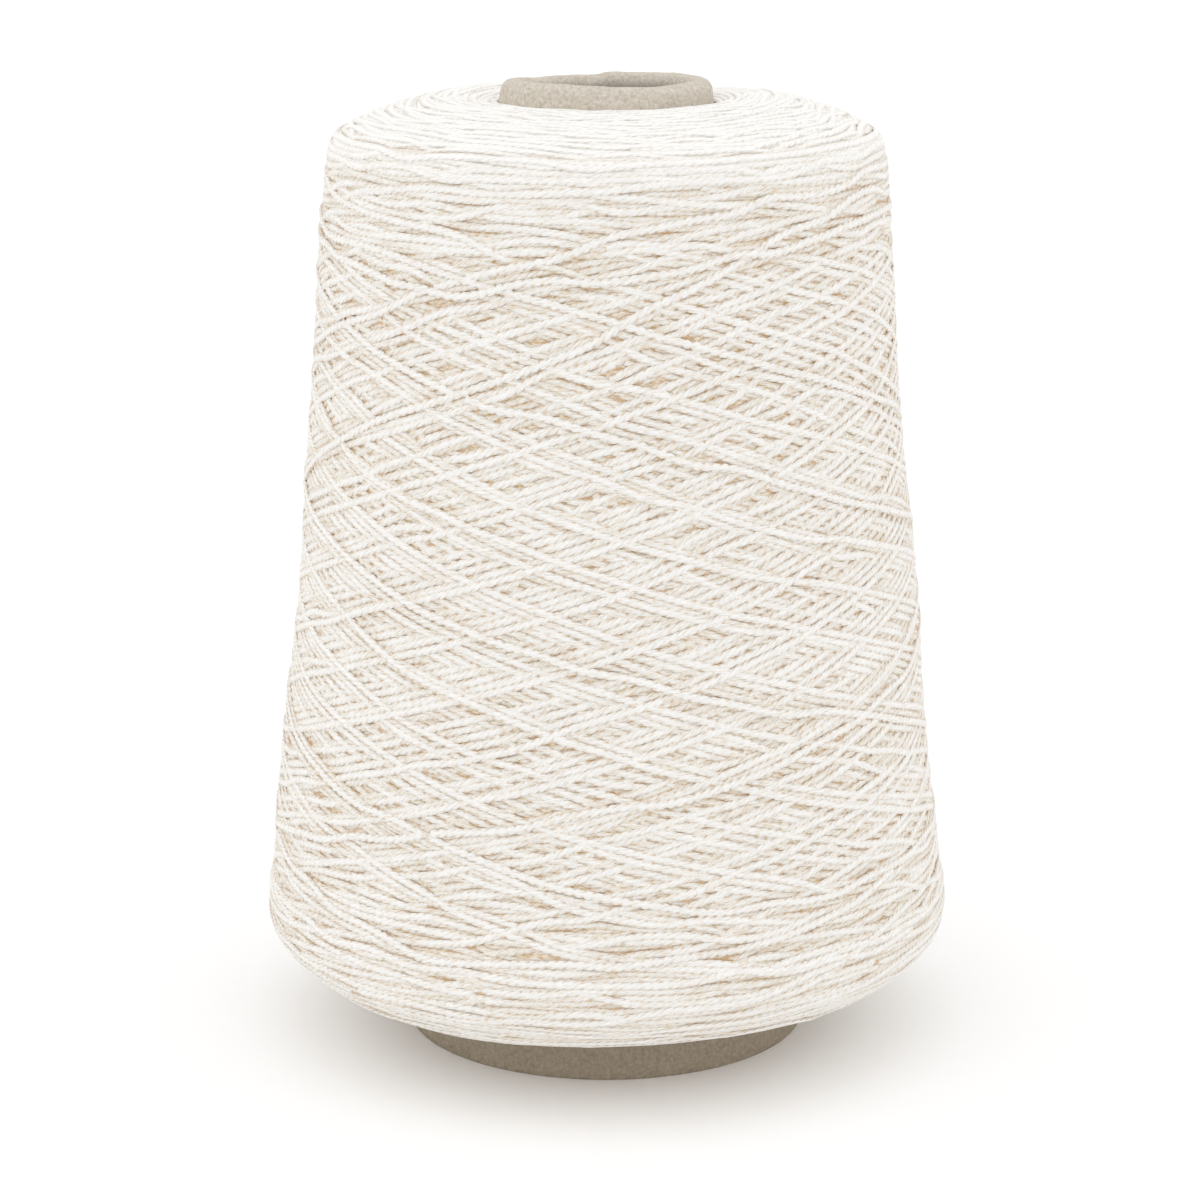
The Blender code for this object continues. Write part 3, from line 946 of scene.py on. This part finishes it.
# deeper strands show less of themselves, so an early layer takes in more of them
shares = [1 - (1 - layer / LAYERS) ** 2 for layer in range(LAYERS + 1)]
ends = [UNDERSIDE_STRANDS + int((BODY_STRANDS - UNDERSIDE_STRANDS) * share) for share in shares]
for layer in range(LAYERS):
    wind_strands(f"body_strands_{layer + 1}", range(ends[layer], ends[layer + 1]))
wind_strands("last_turns", range(BODY_STRANDS, len(strands)), FINE_SPACING, PLY_BULGE)

# --------------------------------------------------------------------------------------------------
# Studio: a white table, a white surround and one wide soft light from above the camera.

CAMERA_PLACE = (-0.0011, -0.5729, 0.2143)
CAMERA_PITCH = math.radians(13.445)
LENS = 98.53
FLOOR_HALF = 6.0
TABLE_WHITE = (0.94, 0.94, 0.94, 1.0)
WHITE = (1.0, 1.0, 1.0, 1.0)
TABLE_GLOW = 0.04  # the table is a faintly lit one, which softens the shadow
SURROUND_LOW = 0.65  # strength at the horizon, in front and behind
SURROUND_SIDES = 0.44  # that it is stronger at the left and the right
SURROUND_HIGH = 1.06  # strength overhead
KEY_SPREAD = math.radians(70)  # a wide soft light
KEY_STRENGTH = 0.33

camera = bpy.data.objects.new("camera", bpy.data.cameras.new("camera"))
camera.location = CAMERA_PLACE
camera.rotation_euler = (math.pi / 2 - CAMERA_PITCH, 0, 0)
camera.data.lens = LENS
camera.data.sensor_width = 36.0
bpy.context.scene.collection.objects.link(camera)
bpy.context.scene.camera = camera

floor_mesh = bpy.data.meshes.new("table_top")
corners = [(x * FLOOR_HALF, y * FLOOR_HALF, 0.0) for x, y in ((-1, -1), (1, -1), (1, 1), (-1, 1))]
floor_mesh.from_pydata(corners, [], [(0, 1, 2, 3)])
table_top = bpy.data.objects.new("table_top", floor_mesh)
bpy.context.scene.collection.objects.link(table_top)
white_table, _, shader = new_material("white_table", 0.9, 0.5)
shader.inputs["Base Color"].default_value = TABLE_WHITE
shader.inputs["Emission Color"].default_value = WHITE
shader.inputs["Emission Strength"].default_value = TABLE_GLOW
floor_mesh.materials.append(white_table)

world = bpy.data.worlds.new("surround")
bpy.context.scene.world = world
world.use_nodes = True
sky = world.node_tree
surround = sky.nodes["Background"]
surround.inputs["Color"].default_value = WHITE
direction = node_in(sky, "ShaderNodeSeparateXYZ")
strength = node_in(sky, "ShaderNodeMapRange")
strength.inputs["To Min"].default_value = SURROUND_LOW
strength.inputs["To Max"].default_value = SURROUND_HIGH
sideways = worked_out(sky, "MULTIPLY", direction.outputs["X"], direction.outputs["X"])
sideways = worked_out(sky, "MULTIPLY_ADD", sideways, SURROUND_SIDES, strength.outputs["Result"])
link(sky, (sky.nodes.new("ShaderNodeTexCoord").outputs["Generated"], direction.inputs[0]),
     (direction.outputs["Z"], strength.inputs["Value"]), (sideways, surround.inputs["Strength"]))

key = bpy.data.objects.new("key_light", bpy.data.lights.new("key_light", "SUN"))
key.data.angle = KEY_SPREAD
key.data.energy = KEY_STRENGTH
key.rotation_euler = (math.radians(30), 0, math.radians(-15))
bpy.context.scene.collection.objects.link(key)

bpy.context.scene.view_settings.view_transform = "Standard"
# white cotton passes light on many times before it comes back out of a crease
bpy.context.scene.cycles.max_bounces = 20
bpy.context.scene.cycles.diffuse_bounces = 16
